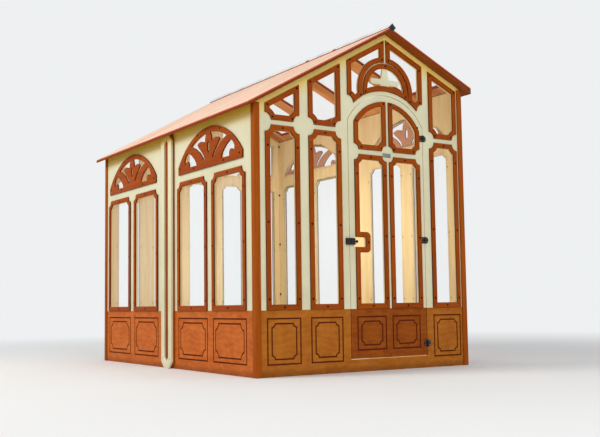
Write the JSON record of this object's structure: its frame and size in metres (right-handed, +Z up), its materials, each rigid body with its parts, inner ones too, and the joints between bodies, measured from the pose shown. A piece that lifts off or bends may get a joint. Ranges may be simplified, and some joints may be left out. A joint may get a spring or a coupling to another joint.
{
  "type": "garden greenhouse",
  "caption": "Small plywood greenhouse with an uneven gable roof, brown-framed windows, carved half-round side lights, a glazed roof slope and a round-topped hinged door.",
  "frame": {"origin": "on the ground, under the middle of the roof's outline", "axes": "+Z up, -Y out through the door gable, +X to the right seen from in front of the door"},
  "size_m": [2.284, 3.23, 2.8735],
  "materials": {
    "cream_paint": "cream paint outside, bare birch plywood inside",
    "brown_stain": "red-brown stained plywood",
    "dado_stain": "golden-brown stain with dark routed grooves",
    "roof_stain": "stained roof plywood",
    "clear_glass": "clear sheet",
    "black_metal": "satin black",
    "grey_plate": "bare matt plate",
    "bare_metal": "plain light-grey metal"
  },
  "bodies": {
    "root": {"back_dado": "dado_stain", "back_frames": "brown_stain", "back_glass": "clear_glass", "back_wall": "cream_paint", "corner_trim_back_left": "brown_stain", "corner_trim_back_right": "brown_stain", "corner_trim_front_left": "brown_stain", "corner_trim_front_right": "brown_stain", "door_sill": "dado_stain", "front_dado_left": "dado_stain", "front_dado_right": "dado_stain", "front_frames": "brown_stain", "front_gable": "cream_paint", "front_glass": "clear_glass", "front_wall_left": "cream_paint", "front_wall_right": "cream_paint", "gable_light_frames": "brown_stain", "hinge_leaves_wall": "black_metal", "latch_keeper": "black_metal", "left_dado": "dado_stain", "left_fanlights": "brown_stain", "left_frames": "brown_stain", "left_glass": "clear_glass", "left_joint_board": "brown_stain", "left_joint_cover": "cream_paint", "left_wall_back": "cream_paint", "left_wall_front": "cream_paint", "ridge_bar": "bare_metal", "right_dado": "dado_stain", "right_fanlights": "brown_stain", "right_frames": "brown_stain", "right_glass": "clear_glass", "right_joint_board": "brown_stain", "right_joint_cover": "cream_paint", "right_wall_back": "cream_paint", "right_wall_front": "cream_paint", "roof_glass": "clear_glass", "roof_left": "roof_stain", "roof_right": "roof_stain"},
    "door": {"door_leaf": "cream_paint", "door_frames": "brown_stain", "door_glass": "clear_glass", "door_dado": "dado_stain", "door_plate": "grey_plate", "hinge_leaves_door": "black_metal", "latch_box": "black_metal"}
  },
  "joints": [
    {"name": "door_swing", "type": "hinge", "parent": "root", "child": "door", "pos_m": [0.6115, -1.538, 1.07], "axis": [0, 0, 1], "range_deg": [0, 105]}
  ]
}
